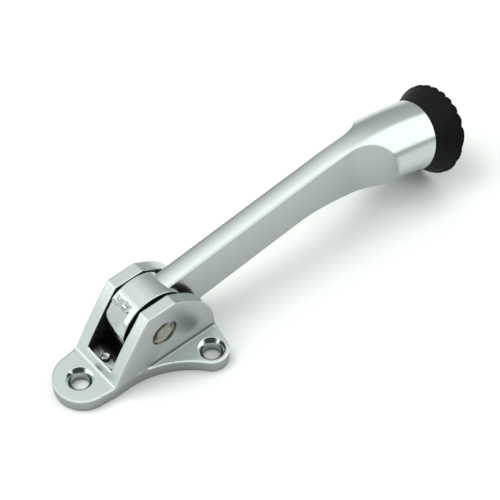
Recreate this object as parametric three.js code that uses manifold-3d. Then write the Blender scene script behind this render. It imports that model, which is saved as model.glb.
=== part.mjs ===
// Kick-down door holder: a die-cast foot plate with two ears, a cast lever that turns on a riveted pin
// between them, and a ribbed rubber foot screwed into the cup at the lever's end.
// Millimetres, +Z up. The origin is on the plate's underside, straight below the pivot. +X runs from the
// pivot towards the lever's foot in the folded-down position, and the part is laid out about the plane Y = 0.

import * as THREE from "three";
import { mergeVertices } from "three/addons/utils/BufferGeometryUtils.js";
import Module from "manifold-3d";

const wasm = await Module();
wasm.setup();

// ---- driving dimensions -------------------------------------------------------------------------------
const CLEAR = 0.3; // gap kept between neighbouring pieces
const EPS = 1; // how far a cutter runs past the face it cuts
const WIDE = 40; // farther out than anything that a cutter has to clear

const PLATE = { thick: 4.7, halfWidth: 10.65, rearX: 20.3, flankRadius: 30 };
const FRONT_LOBE = { x: -25.3, radius: 10.1 };
const REAR_LOBE = { x: 12.9, y: 18.0, radius: 5.8 };
const SCREW_HOLES = [
  [-26.7, 0],
  [REAR_LOBE.x, REAR_LOBE.y],
  [REAR_LOBE.x, -REAR_LOBE.y],
];
const SCREW_HOLE = { radius: 3.0, sinkRadius: 4.5 };

const EAR = { inner: 6.15, topZ: 28.3, topFrontX: -5.8, topRearX: 5.0, footX: -20.5 };
const EAR_BACK = [ // X and Z down the ears' rounded back, from the flat top to the plate
  [10.5, 24.7],
  [14.5, 21.0],
  [17.7, 16.2],
  [19.7, 11.0],
];
const SILL = { topZ: 7.9, backX: -18.0, ledgeZ: 5.5, ledgeBackX: -13.9 };
const POCKET = { floorZ: 1.3, rearX: 14.0 };

const PIVOT_Z = 17.0;
const PIN = { radius: 3.2, headRadius: 4.7, headThick: 1.0, headRecess: 0.35 };

const HUB = { radius: 12.35, halfWidth: 5.08 };
const FLAT = { depth: 0.9, from: 131, to: 172, rim: 2.1 }; // cam flat: degrees about the pivot, from +X

const SHANK = { radius: 9.14, halfWidth: 3.5, pitch: 6.76, lift: 0.2, length: 60 };
const CUP = { x: 115.2, z: 1.25, pitch: -18.34, swell: 2.4, taper: 0.85 };
const SWELL_FROM = 0.05; // share of the bend where the shank starts to widen into the cup
const SWELL_TO = 0.6;
const FIRST_STATION_X = 2;
const SCOOP = { startX: 84.9, reach: 15.0, depth: 12.0 };
const SOCKET = { radius: 8.0, depth: 9.6 };

const FOOT = { neckRadius: 11.0, soleRadius: 15.75, length: 10.5, lip: 0.6 };
const RIB = { pitch: 3.4, height: 0.9, count: 9, grooveTop: 2.58, grooveFloor: 0.95 };
const FOOT_SCREW = {
  radius: 2.0,
  tipRadius: 1.2,
  tipLength: 1.0,
  length: 17.0,
  headRadius: 3.7,
  headThick: 2.2,
  crownRadius: 2.2,
  crownFrom: 1.32,
  wellRadius: 4.6,
  wellDepth: 5.4,
};
const CROSS = { length: 3.7, width: 0.9, depth: 1.32 };
const FOOT_WASHER = { radius: 4.2, thick: 0.8 };

const PIVOT_WASHER = { radius: 6.0, thick: 0.5 };
const SPRING = { thick: 0.8, halfWidth: 5.4, holeRadius: 1.4 };
const SPRING_PATH = [ // X and Z along the strip's middle, from the tab on the ledge to the tail in the pocket
  [-17.6, 6.2],
  [-15.0, 6.2],
  [-13.2, 6.0],
  [-11.8, 4.6],
  [-10.0, 2.95],
  [-6.5, 2.6],
  [-2.8, 3.6],
  [0.4, 3.85],
  [4.2, 3.2],
  [8.0, 2.15],
  [11.5, 2.0],
];
const SPRING_RIVET = {
  x: -16.0,
  radius: 1.1,
  headRadius: 1.75,
  headThick: 1.0,
  shoulderRadius: 1.54,
  shoulderZ: 0.55,
  crownRadius: 0.7,
  tailZ: 2.4,
};

// ---- helpers ------------------------------------------------------------------------------------------
const rad = THREE.MathUtils.degToRad;

function toSolid(geometry) {
  const bare = geometry.clone();
  bare.deleteAttribute("normal");
  bare.deleteAttribute("uv");
  const merged = mergeVertices(bare, 1e-5);
  return new wasm.Manifold(
    new wasm.Mesh({
      numProp: 3,
      vertProperties: new Float32Array(merged.attributes.position.array),
      triVerts: new Uint32Array(merged.index.array),
    }),
  );
}

function toGeometry(solid) {
  const mesh = solid.getMesh();
  const geometry = new THREE.BufferGeometry();
  geometry.setAttribute("position", new THREE.BufferAttribute(new Float32Array(mesh.vertProperties), 3));
  geometry.setIndex(new THREE.BufferAttribute(new Uint32Array(mesh.triVerts), 1));
  geometry.computeVertexNormals();
  return geometry;
}

function arc(cx, cy, radius, fromDeg, toDeg, steps, radiusY = radius) {
  const points = [];
  for (let i = 0; i <= steps; i += 1) {
    const angle = rad(fromDeg + ((toDeg - fromDeg) * i) / steps);
    points.push(new THREE.Vector2(cx + radius * Math.cos(angle), cy + radiusY * Math.sin(angle)));
  }
  return points;
}

const point = (x, y) => new THREE.Vector2(x, y);
const polar = (radius, degrees) => point(radius * Math.cos(rad(degrees)), radius * Math.sin(rad(degrees)));

// An outline in X and Y, raised from z0 to z1.
function upright(points, z0, z1) {
  const geometry = new THREE.ExtrudeGeometry(new THREE.Shape(points), { depth: z1 - z0, bevelEnabled: false });
  geometry.translate(0, 0, z0);
  return toSolid(geometry);
}

// An outline in X and Z, drawn across from y0 to y1.
function across(points, y0, y1) {
  const geometry = new THREE.ExtrudeGeometry(new THREE.Shape(points), { depth: y1 - y0, bevelEnabled: false });
  geometry.rotateX(Math.PI / 2);
  geometry.translate(0, y1, 0);
  return toSolid(geometry);
}

// A cylinder along Y, about x = 0 and z = 0.
function roundAcross(radius, y0, y1, sides = 40) {
  const geometry = new THREE.CylinderGeometry(radius, radius, y1 - y0, sides);
  geometry.translate(0, (y0 + y1) / 2, 0);
  return toSolid(geometry);
}

// A profile of [height, radius] pairs turned about Z.
function turned(profile, sides = 32) {
  const points = profile.map(([height, radius]) => point(radius, height));
  const geometry = new THREE.LatheGeometry(points, sides);
  geometry.rotateX(Math.PI / 2);
  return toSolid(geometry);
}

// ---- foot plate ---------------------------------------------------------------------------------------
function plateFlank() {
  const { halfWidth, rearX, flankRadius } = PLATE;
  const centreY = halfWidth + flankRadius;
  const rise = centreY - REAR_LOBE.y;
  const centreX = REAR_LOBE.x - Math.sqrt((flankRadius + REAR_LOBE.radius) ** 2 - rise ** 2);
  const join = THREE.MathUtils.radToDeg(Math.atan2(-rise, REAR_LOBE.x - centreX));
  const toCorner = Math.hypot(rearX - REAR_LOBE.x, halfWidth - REAR_LOBE.y);
  const cornerAngle = THREE.MathUtils.radToDeg(Math.atan2(halfWidth - REAR_LOBE.y, rearX - REAR_LOBE.x));
  const leave = cornerAngle + THREE.MathUtils.radToDeg(Math.acos(REAR_LOBE.radius / toCorner));
  return [
    point(rearX, halfWidth),
    ...arc(REAR_LOBE.x, REAR_LOBE.y, REAR_LOBE.radius, leave, join + 180, 9),
    ...arc(centreX, centreY, flankRadius, join, -90, 7).slice(1),
    point(EAR.footX, halfWidth),
    ...arc(FRONT_LOBE.x, 0, FRONT_LOBE.radius, 90, 180, 10),
  ];
}

function plate() {
  const flank = plateFlank();
  const mirrored = flank.slice(0, -1).map((p) => point(p.x, -p.y));
  return upright([...flank, ...mirrored.reverse()], 0, PLATE.thick);
}

// Side view of the raised block: the ears and the sill share this outline.
function earOutline() {
  const rearTop = point(EAR.topRearX, EAR.topZ);
  const rearFoot = point(PLATE.rearX, PLATE.thick);
  const back = new THREE.SplineCurve([rearTop, ...EAR_BACK.map(([x, z]) => point(x, z)), rearFoot]);
  return [
    point(EAR.footX, 1),
    point(PLATE.rearX, 1),
    ...back.getPoints(15).reverse(),
    point(EAR.topFrontX, EAR.topZ),
    point(EAR.footX, PLATE.thick),
  ];
}

// Side view of the slot between the ears, with the sill, the spring's ledge and the pocket below the hub.
function slotOutline() {
  return [
    point(-WIDE, SILL.topZ),
    point(SILL.backX, SILL.topZ),
    point(SILL.backX, SILL.ledgeZ),
    point(SILL.ledgeBackX, SILL.ledgeZ),
    point(SILL.ledgeBackX, POCKET.floorZ),
    point(POCKET.rearX, POCKET.floorZ),
    point(POCKET.rearX, PLATE.thick),
    point(WIDE, PLATE.thick),
    point(WIDE, WIDE),
    point(-WIDE, WIDE),
  ];
}

function countersunkHole([x, y]) {
  const { radius, sinkRadius } = SCREW_HOLE;
  const sinkZ = PLATE.thick - (sinkRadius - radius);
  return turned([
    [-EPS, 0],
    [-EPS, radius],
    [sinkZ, radius],
    [PLATE.thick + EPS, sinkRadius + EPS],
    [PLATE.thick + EPS, 0],
  ]).translate([x, y, 0]);
}

function baseBracket() {
  const ears = across(earOutline(), -PLATE.halfWidth, PLATE.halfWidth);
  const slot = across(slotOutline(), -EAR.inner, EAR.inner);
  const bore = roundAcross(PIN.radius + CLEAR, -PLATE.halfWidth - EPS, PLATE.halfWidth + EPS, 28);
  const headFloor = PLATE.halfWidth - PIN.headRecess - PIN.headThick - CLEAR;
  let bracket = plate().add(ears).subtract(slot).subtract(bore.translate([0, 0, PIVOT_Z]));
  for (const side of [-1, 1]) {
    const ends = [side * headFloor, side * (PLATE.halfWidth + EPS)].sort((a, b) => a - b);
    const well = roundAcross(PIN.headRadius + CLEAR / 2, ends[0], ends[1]);
    bracket = bracket.subtract(well.translate([0, 0, PIVOT_Z]));
  }
  for (const hole of SCREW_HOLES) {
    bracket = bracket.subtract(countersunkHole(hole));
  }
  const rivetHole = turned([
    [SPRING_RIVET.tailZ - CLEAR, 0],
    [SPRING_RIVET.tailZ - CLEAR, SPRING_RIVET.radius + CLEAR],
    [SILL.ledgeZ + EPS, SPRING_RIVET.radius + CLEAR],
    [SILL.ledgeZ + EPS, 0],
  ], 20);
  return bracket.subtract(rivetHole.translate([SPRING_RIVET.x, 0, 0]));
}

// ---- pivot --------------------------------------------------------------------------------------------
function pivotPin() {
  const face = PLATE.halfWidth - PIN.headRecess;
  const shaft = roundAcross(PIN.radius, -face + PIN.headThick / 2, face - PIN.headThick / 2, 28);
  const near = roundAcross(PIN.headRadius, -face, -face + PIN.headThick);
  const far = roundAcross(PIN.headRadius, face - PIN.headThick, face);
  return shaft.add(near).add(far);
}

function pivotWasher() {
  const half = PIVOT_WASHER.thick / 2;
  const hole = roundAcross(PIN.radius + CLEAR, -half - EPS, half + EPS, 28);
  return roundAcross(PIVOT_WASHER.radius, -half, half, 32).subtract(hole);
}

// ---- spring -------------------------------------------------------------------------------------------
// The strip is riveted to the ledge behind the sill, dives into the pocket and crests under the hub.
function leafSpring() {
  const path = new THREE.SplineCurve(SPRING_PATH.map(([x, z]) => point(x, z))).getPoints(27);
  const upper = [];
  const lower = [];
  path.forEach((p, i) => {
    const before = path[Math.max(i - 1, 0)];
    const after = path[Math.min(i + 1, path.length - 1)];
    const along = after.clone().sub(before).normalize();
    upper.push(point(p.x - along.y * SPRING.thick * 0.5, p.y + along.x * SPRING.thick * 0.5));
    lower.push(point(p.x + along.y * SPRING.thick * 0.5, p.y - along.x * SPRING.thick * 0.5));
  });
  const strip = across([...lower, ...upper.reverse()], -SPRING.halfWidth, SPRING.halfWidth);
  const hole = turned([
    [0, 0],
    [0, SPRING.holeRadius],
    [SILL.topZ + EPS, SPRING.holeRadius],
    [SILL.topZ + EPS, 0],
  ], 20);
  return strip.subtract(hole.translate([SPRING_RIVET.x, 0, 0]));
}

function springRivet() {
  const seatZ = SPRING_PATH[0][1] + SPRING.thick / 2 + CLEAR;
  return turned([
    [SPRING_RIVET.tailZ, 0],
    [SPRING_RIVET.tailZ, SPRING_RIVET.radius],
    [seatZ, SPRING_RIVET.radius],
    [seatZ, SPRING_RIVET.headRadius],
    [seatZ + SPRING_RIVET.shoulderZ, SPRING_RIVET.shoulderRadius],
    [seatZ + SPRING_RIVET.headThick, SPRING_RIVET.crownRadius],
    [seatZ + SPRING_RIVET.headThick, 0],
  ], 20).translate([SPRING_RIVET.x, 0, 0]);
}

// ---- lever (drawn about the pivot) --------------------------------------------------------------------
// Centreline of the lever: straight from the pivot, then one easy bend down to the mouth of the cup.
function leverStations() {
  const slope = Math.tan(rad(SHANK.pitch));
  const bendStart = point(SHANK.length, SHANK.lift + SHANK.length * slope);
  const mouth = point(CUP.x, CUP.z);
  const cupSlope = Math.tan(rad(CUP.pitch));
  const elbowX = (mouth.y - mouth.x * cupSlope - SHANK.lift) / (slope - cupSlope);
  const elbow = point(elbowX, SHANK.lift + elbowX * slope);
  const bend = new THREE.QuadraticBezierCurve(bendStart, elbow, mouth);
  const first = point(FIRST_STATION_X, SHANK.lift + FIRST_STATION_X * slope);
  const stations = [{ at: first, along: elbow.clone().sub(first).normalize(), radius: SHANK.radius }];
  const steps = 12;
  for (let i = 0; i <= steps; i += 1) {
    const t = i / steps;
    const swell = CUP.swell * THREE.MathUtils.smoothstep(t, SWELL_FROM, SWELL_TO);
    stations.push({
      at: bend.getPoint(t),
      along: bend.getTangent(t),
      radius: SHANK.radius + swell + CUP.taper * t * t,
    });
  }
  return stations;
}

// Round sections skinned along the stations, closed at both ends.
function skinned(stations, sides = 36) {
  const vertices = [];
  const triangles = [];
  for (const { at, along, radius } of stations) {
    for (let k = 0; k < sides; k += 1) {
      const angle = (2 * Math.PI * k) / sides;
      const out = radius * Math.cos(angle);
      vertices.push(at.x - along.y * out, radius * Math.sin(angle), at.y + along.x * out);
    }
  }
  const last = stations.length - 1;
  for (let ring = 0; ring < last; ring += 1) {
    for (let k = 0; k < sides; k += 1) {
      const a = ring * sides + k;
      const b = ring * sides + ((k + 1) % sides);
      triangles.push(a, a + sides, b, b, a + sides, b + sides);
    }
  }
  for (let k = 1; k < sides - 1; k += 1) {
    triangles.push(0, k, k + 1);
    triangles.push(last * sides, last * sides + k + 1, last * sides + k);
  }
  const geometry = new THREE.BufferGeometry();
  geometry.setAttribute("position", new THREE.Float32BufferAttribute(vertices, 3));
  geometry.setIndex(triangles);
  return toSolid(geometry);
}

// What is milled off each side of the shank, with the round runout that ends in the cup.
function sideScoop(side) {
  const outline = [
    point(-EPS, SHANK.halfWidth),
    ...arc(SCOOP.startX, SHANK.halfWidth + SCOOP.depth, SCOOP.reach, -90, 0, 9, SCOOP.depth),
    point(SCOOP.startX + SCOOP.reach, WIDE),
    point(-EPS, WIDE),
  ];
  const placed = outline.map((p) => point(p.x, side * p.y));
  return upright(side > 0 ? placed : placed.reverse(), -WIDE, WIDE);
}

// The flat on the hub's rim: a step of FLAT.depth that runs out to the full radius, with a whole rim
// left beside it.
function camFlat() {
  const outer = HUB.radius + EPS;
  const foot = polar(HUB.radius - FLAT.depth, FLAT.from);
  const runout = polar(HUB.radius, FLAT.to);
  const outline = [...arc(0, 0, outer, FLAT.from, FLAT.to, 8), runout, foot];
  return across(outline, -HUB.halfWidth + FLAT.rim, HUB.halfWidth + EPS);
}

function alongCup(solid) {
  return solid.rotate([0, 90 - CUP.pitch, 0]).translate([CUP.x, 0, CUP.z]);
}

function lever() {
  let body = skinned(leverStations());
  body = body.subtract(sideScoop(1)).subtract(sideScoop(-1));
  const hub = roundAcross(HUB.radius, -HUB.halfWidth, HUB.halfWidth, 64).subtract(camFlat());
  const bore = roundAcross(PIN.radius + CLEAR, -HUB.halfWidth - EPS, HUB.halfWidth + EPS, 28);
  const screwEnd = FOOT.length - FOOT_SCREW.wellDepth + FOOT_WASHER.thick - FOOT_SCREW.length;
  const socket = turned([
    [screwEnd - 2 * CLEAR, 0],
    [screwEnd - 2 * CLEAR, FOOT_SCREW.radius + CLEAR],
    [-SOCKET.depth, FOOT_SCREW.radius + CLEAR],
    [-SOCKET.depth, SOCKET.radius],
    [EPS, SOCKET.radius],
    [EPS, 0],
  ], 36);
  return body.add(hub).subtract(bore).subtract(alongCup(socket));
}

// ---- rubber foot and its fixings (drawn about the cup's mouth, +Z outwards) ---------------------------
function rubberFoot() {
  const { neckRadius, soleRadius, length, lip } = FOOT;
  const face = length - RIB.height;
  const stem = SOCKET.radius - CLEAR;
  const stemEnd = -(SOCKET.depth - CLEAR);
  const wellFloor = length - FOOT_SCREW.wellDepth - CLEAR;
  const blank = turned([
    [stemEnd, 0],
    [stemEnd, stem],
    [CLEAR, stem],
    [CLEAR, neckRadius],
    [face - lip, soleRadius - lip / 2],
    [face, soleRadius],
    [length, soleRadius],
    [length, 0],
  ], 56);
  const screwWay = turned([
    [stemEnd - EPS, 0],
    [stemEnd - EPS, FOOT_SCREW.radius + CLEAR],
    [wellFloor, FOOT_SCREW.radius + CLEAR],
    [wellFloor, FOOT_SCREW.wellRadius],
    [length + EPS, FOOT_SCREW.wellRadius],
    [length + EPS, 0],
  ], 32);
  let foot = blank.subtract(screwWay);
  const groove = [
    point(-RIB.grooveTop / 2, length + EPS),
    point(-RIB.grooveFloor / 2, face),
    point(RIB.grooveFloor / 2, face),
    point(RIB.grooveTop / 2, length + EPS),
  ];
  for (let i = 0; i <= RIB.count; i += 1) {
    const offset = (i - RIB.count / 2) * RIB.pitch;
    const cutter = across(groove, -2 * soleRadius, 2 * soleRadius);
    foot = foot.subtract(cutter.rotate([0, 0, 90]).translate([0, offset, 0]));
  }
  return foot;
}

function footWasher() {
  const seat = FOOT.length - FOOT_SCREW.wellDepth;
  return turned([
    [seat, FOOT_SCREW.radius + CLEAR],
    [seat, FOOT_WASHER.radius],
    [seat + FOOT_WASHER.thick, FOOT_WASHER.radius],
    [seat + FOOT_WASHER.thick, FOOT_SCREW.radius + CLEAR],
    [seat, FOOT_SCREW.radius + CLEAR],
  ], 28);
}

function footScrew() {
  const seat = FOOT.length - FOOT_SCREW.wellDepth + FOOT_WASHER.thick + CLEAR;
  const { radius, tipRadius, tipLength, length, headRadius, headThick, crownRadius, crownFrom } = FOOT_SCREW;
  let screw = turned([
    [seat - length, 0],
    [seat - length, tipRadius],
    [seat - length + tipLength, radius],
    [seat, radius],
    [seat, headRadius],
    [seat + crownFrom, headRadius],
    [seat + headThick, crownRadius],
    [seat + headThick, 0],
  ], 28);
  for (const [x, y] of [[CROSS.length, CROSS.width], [CROSS.width, CROSS.length]]) {
    const bar = new THREE.BoxGeometry(x, y, 2 * CROSS.depth);
    bar.translate(0, 0, seat + headThick);
    screw = screw.subtract(toSolid(bar));
  }
  return screw;
}

// ---- assembly -----------------------------------------------------------------------------------------
const FINISH = {
  castChrome: { color: 0xc3cbca, roughness: 0.32, metalness: 1.0 },
  pinSteel: { color: 0x8f8c80, roughness: 0.42, metalness: 1.0 },
  springSteel: { color: 0x6b6a66, roughness: 0.45, metalness: 1.0 },
  zincSteel: { color: 0xb9bdbd, roughness: 0.35, metalness: 1.0 },
  nylon: { color: 0x2a2a2a, roughness: 0.6, metalness: 0.0 },
  rubber: { color: 0x171717, roughness: 0.75, metalness: 0.0 },
};

function piece(name, solid, finish) {
  const mesh = new THREE.Mesh(toGeometry(solid), new THREE.MeshStandardMaterial(finish));
  mesh.name = name;
  return mesh;
}

const group = new THREE.Group();
group.add(piece("base_bracket", baseBracket(), FINISH.castChrome));
group.add(piece("leaf_spring", leafSpring(), FINISH.springSteel));
group.add(piece("spring_rivet", springRivet(), FINISH.pinSteel));

const pivot = new THREE.Group();
pivot.position.set(0, 0, PIVOT_Z);
group.add(pivot);
pivot.add(piece("pivot_pin", pivotPin(), FINISH.pinSteel));
for (const [side, name] of [[-1, "pivot_washer_near"], [1, "pivot_washer_far"]]) {
  const washer = piece(name, pivotWasher(), FINISH.nylon);
  washer.position.y = side * (HUB.halfWidth + EAR.inner) * 0.5;
  pivot.add(washer);
}
pivot.add(piece("lever", lever(), FINISH.castChrome));

const mouth = new THREE.Group();
mouth.position.set(CUP.x, 0, CUP.z);
mouth.rotation.y = rad(90 - CUP.pitch);
pivot.add(mouth);
mouth.add(piece("rubber_foot", rubberFoot(), FINISH.rubber));
mouth.add(piece("foot_washer", footWasher(), FINISH.zincSteel));
mouth.add(piece("foot_screw", footScrew(), FINISH.zincSteel));

export default group;
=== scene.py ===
"""Kick-down door holder: detailed pieces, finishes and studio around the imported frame.

Every piece is drawn in millimetres about the frame's origin and brought to metres when it is finished.
So it stands exactly where its own node of the frame stands.
"""

import logging
import math
import random
from dataclasses import dataclass
from enum import Enum
from typing import Callable, Sequence

import bpy
import bmesh
from mathutils import Matrix, Vector

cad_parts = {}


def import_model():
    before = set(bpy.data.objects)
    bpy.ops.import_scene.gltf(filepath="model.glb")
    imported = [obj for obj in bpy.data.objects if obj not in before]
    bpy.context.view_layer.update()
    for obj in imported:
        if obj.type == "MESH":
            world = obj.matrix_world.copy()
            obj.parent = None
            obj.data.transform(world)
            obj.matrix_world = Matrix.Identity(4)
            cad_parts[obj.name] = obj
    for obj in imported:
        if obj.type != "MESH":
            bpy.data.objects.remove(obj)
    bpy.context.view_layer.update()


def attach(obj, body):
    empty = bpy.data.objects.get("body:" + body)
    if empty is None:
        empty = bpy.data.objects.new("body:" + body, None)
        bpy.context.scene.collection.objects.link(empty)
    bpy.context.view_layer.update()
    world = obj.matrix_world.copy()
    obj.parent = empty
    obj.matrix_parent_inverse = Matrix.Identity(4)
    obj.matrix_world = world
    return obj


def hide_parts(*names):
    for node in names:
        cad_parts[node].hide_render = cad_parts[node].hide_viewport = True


LOG = logging.getLogger("door_holder")
METRE = 0.001  # one millimetre
FULL_TURN = 2 * math.pi
MERGE = 0.002  # points closer than this become one, in millimetres
LOOSE_MERGE = 0.01  # the same after several cuts
FAR = 40  # beyond every piece, in millimetres
Point2 = tuple[float, float]
Point3 = tuple[float, float, float]


class Plane(Enum):
    """The plane that an outline is drawn in, and how its two numbers become a place."""

    PLAN = "plan"
    SIDE = "side"

    def place(self, point: Point2, level: float) -> Vector:
        """Gives the place of an outline's point.

        Args:
            point: the outline's two numbers.
            level: how far out of the plane the outline lies.

        Returns:
            The point in space.
        """
        if self is Plane.PLAN:
            return Vector((point[0], point[1], level))
        return Vector((point[0], level, point[1]))

    def normal(self) -> Vector:
        """Returns the direction that an outline in this plane is drawn out along."""
        return Vector((0, 0, 1)) if self is Plane.PLAN else Vector((0, 1, 0))


class Cut(Enum):
    """How one solid changes another."""

    AWAY = "DIFFERENCE"
    ON = "UNION"
    WITHIN = "INTERSECT"


class Skin(Enum):
    """How dull a metal skin is, from a fresh cut to one that stays as cast. A duller skin is rougher and
    darker; on faces that turn sideways the darker colour is partly painted shade.
    """

    CUT = -1.0
    BUFFED = 0.0
    MILLED = 0.35
    BRUSHED = 0.46
    WORN_FLAT = 0.5
    CAST = 0.75


# ---- bench: the moves that every piece shares -----------------------------------------------------------


def clear_bench() -> None:
    """Leaves edit mode and deselects everything."""
    if bpy.context.object and bpy.context.object.mode != "OBJECT":
        bpy.ops.object.mode_set(mode="OBJECT")
    bpy.ops.object.select_all(action="DESELECT")


def take(piece: bpy.types.Object) -> None:
    """Makes a piece the only one selected, and the active one."""
    clear_bench()
    piece.select_set(True)
    bpy.context.view_layer.objects.active = piece


def edit(piece: bpy.types.Object, parts: str = "VERT") -> None:
    """Opens a piece in edit mode, choosing by vertex, edge or face."""
    take(piece)
    bpy.ops.object.mode_set(mode="EDIT")
    bpy.ops.mesh.select_mode(type=parts)


def shut() -> None:
    """Goes back to object mode."""
    bpy.ops.object.mode_set(mode="OBJECT")


def tidy_mesh(piece: bpy.types.Object, merge: float = MERGE) -> None:
    """Merges doubles and turns every face outwards.

    Args:
        piece: a closed mesh.
        merge: how close two points may be, in millimetres.
    """
    edit(piece)
    bpy.ops.mesh.select_all(action="SELECT")
    bpy.ops.mesh.remove_doubles(threshold=merge)
    bpy.ops.mesh.normals_make_consistent(inside=False)
    shut()


def pick(piece: bpy.types.Object, wanted: Callable[[bmesh.types.BMEdge], bool]) -> None:
    """Selects the edges of a piece in edit mode that pass a test.

    Args:
        piece: the piece, open in edit mode.
        wanted: says whether an edge is chosen.
    """
    bpy.ops.mesh.select_all(action="DESELECT")
    bm = bmesh.from_edit_mesh(piece.data)
    for edge in [e for e in bm.edges if wanted(e)]:
        edge.select_set(True)
    bmesh.update_edit_mesh(piece.data)


def solid(name: str, outline: Sequence[Point2], plane: Plane, start: float, end: float) -> bpy.types.Object:
    """Draws a closed outline and extrudes it into a solid.

    Args:
        name: the object's name.
        outline: its points in order.
        plane: the plane that it is drawn in.
        start: where the solid begins, out of the plane.
        end: where it stops.

    Returns:
        The solid.
    """
    clear_bench()
    bpy.ops.mesh.primitive_circle_add(vertices=len(outline), radius=1, fill_type="NGON")
    piece = bpy.context.object
    piece.name = name
    for vertex, point in zip(piece.data.vertices, outline):
        vertex.co = plane.place(point, start)
    edit(piece)
    bpy.ops.mesh.select_all(action="SELECT")
    rise = plane.normal() * (end - start)
    bpy.ops.mesh.extrude_region_move(TRANSFORM_OT_translate={"value": rise})
    shut()
    tidy_mesh(piece)
    return piece


def turned(name: str, profile: Sequence[Point2], steps: int, closed: bool = False) -> bpy.types.Object:
    """Spins a profile about Z.

    Args:
        name: the object's name.
        profile: pairs of height and radius. An open one starts and ends on the axis.
        steps: how many steps make the whole turn.
        closed: True for a ring, whose profile closes on itself.

    Returns:
        The turned solid.
    """
    clear_bench()
    bpy.ops.mesh.primitive_circle_add(vertices=len(profile), radius=1, fill_type="NOTHING")
    piece = bpy.context.object
    piece.name = name
    for vertex, (height, radius) in zip(piece.data.vertices, profile):
        vertex.co = Vector((radius, 0, height))
    edit(piece, "EDGE")
    if not closed:
        pick(piece, lambda e: all(abs(v.co.x) < MERGE for v in e.verts))
        bpy.ops.mesh.delete(type="EDGE")
    bpy.ops.mesh.select_all(action="SELECT")
    bpy.ops.mesh.spin(steps=steps, angle=FULL_TURN, center=(0, 0, 0), axis=(0, 0, 1))
    shut()
    tidy_mesh(piece)
    return piece


def mirrored(points: Sequence[Point2]) -> list[Point2]:
    """Puts the mirror image of some points before them, where the first number changes its sign.

    Args:
        points: the points on the positive side.

    Returns:
        The points of both sides, from the most negative one on.
    """
    return [(-first, second) for first, second in points[::-1]] + list(points)


def lay(piece: bpy.types.Object, turn: Matrix, at: Point3 = (0, 0, 0)) -> bpy.types.Object:
    """Turns a piece about the origin, moves it and fixes it there.

    Args:
        piece: the piece.
        turn: the rotation.
        at: where its origin goes.

    Returns:
        The same piece.
    """
    take(piece)
    piece.matrix_world = Matrix.Translation(at) @ turn.to_4x4()
    bpy.ops.object.transform_apply(location=True, rotation=True, scale=True)
    return piece


def across_y() -> Matrix:
    """Returns the turn that lays a piece turned about Z along Y."""
    return Matrix.Rotation(-math.pi / 2, 3, "X")


def modify(piece: bpy.types.Object, kind: str, **settings: object) -> None:
    """Puts a modifier on a piece and applies it.

    Args:
        piece: the piece.
        kind: the modifier's type.
        settings: its properties.
    """
    take(piece)
    step = piece.modifiers.new("step", kind)
    for key, value in settings.items():
        setattr(step, key, value)
    bpy.ops.object.modifier_apply(modifier=step.name)


def change(piece: bpy.types.Object, tool: bpy.types.Object, cut: Cut) -> bpy.types.Object:
    """Changes a piece by another solid, and throws that solid away.

    Args:
        piece: the piece that changes.
        tool: the other solid.
        cut: whether the tool is taken away, joined on, or is all that the piece stays within.

    Returns:
        The changed piece.
    """
    modify(piece, "BOOLEAN", operation=cut.value, solver="EXACT", object=tool)
    bpy.data.objects.remove(tool)
    return piece


def recast(piece: bpy.types.Object, grain: float) -> None:
    """Melts a piece into one even skin, as a casting is, and eases its edges.

    Args:
        piece: a closed solid.
        grain: the size of the skin's cells in millimetres.
    """
    modify(piece, "REMESH", mode="VOXEL", voxel_size=grain)
    modify(piece, "SMOOTH", factor=0.5, iterations=3)


def soften(piece: bpy.types.Object, width: float) -> None:
    """Rounds every sharp edge.

    Args:
        piece: the piece.
        width: the rounding's width in millimetres.
    """
    limit = math.radians(35)
    modify(
        piece,
        "BEVEL",
        width=width,
        segments=2,
        limit_method="ANGLE",
        angle_limit=limit,
        use_clamp_overlap=True,
        miter_outer="MITER_ARC",
    )


def to_metres(piece: bpy.types.Object, smooth_angle: float = 40) -> None:
    """Brings a finished piece from millimetres to metres and shades it.

    Args:
        piece: the piece.
        smooth_angle: edges flatter than this many degrees are shaded smooth.
    """
    take(piece)
    piece.scale = (METRE,) * 3
    bpy.ops.object.transform_apply(location=True, rotation=True, scale=True)
    bpy.ops.object.shade_smooth_by_angle(angle=math.radians(smooth_angle))


def mark(piece: bpy.types.Object, name: str, value: Callable[[bmesh.types.BMVert], float]) -> None:
    """Writes one number for each point of a piece, which its finish can read.

    Args:
        piece: a finished piece.
        name: the attribute's name.
        value: gives a point's number.
    """
    bm = bmesh.new()
    bm.from_mesh(piece.data)
    numbers = [value(vertex) for vertex in bm.verts]
    bm.free()
    attribute = piece.data.attributes.new(name, "FLOAT", "POINT")
    attribute.data.foreach_set("value", numbers)


def mark_skin(piece: bpy.types.Object, dull: Callable[[Vector, Vector], float]) -> None:
    """Writes how dull the skin is at each corner of a piece, on the scale of Skin; on sideways faces it
    also sets painted shade.

    Args:
        piece: a finished piece in metres.
        dull: gives the number from a corner's place in millimetres and the way that it faces.
    """
    mesh = piece.data
    spots = [vertex.co / METRE for vertex in mesh.vertices]
    corners = zip(mesh.loops, mesh.corner_normals)
    numbers = [dull(spots[loop.vertex_index], facing.vector) for loop, facing in corners]
    attribute = mesh.attributes.new("dull", "FLOAT", "CORNER")
    attribute.data.foreach_set("value", numbers)


def edge_wear(vertex: bmesh.types.BMVert) -> float:
    """Says how far a point stands out from its neighbours.

    Args:
        vertex: the point.

    Returns:
        0 on a flat face, 1 on a crisp outer edge.
    """
    gain, flat_share, tiny = 3, 0.25, 1e-9
    lift = 0.0
    for edge in vertex.link_edges:
        step = vertex.co - edge.other_vert(vertex).co
        lift += vertex.normal.dot(step) / max(step.length, tiny)
    return min(max(gain * lift / max(len(vertex.link_edges), 1) - flat_share, 0), 1)


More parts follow.
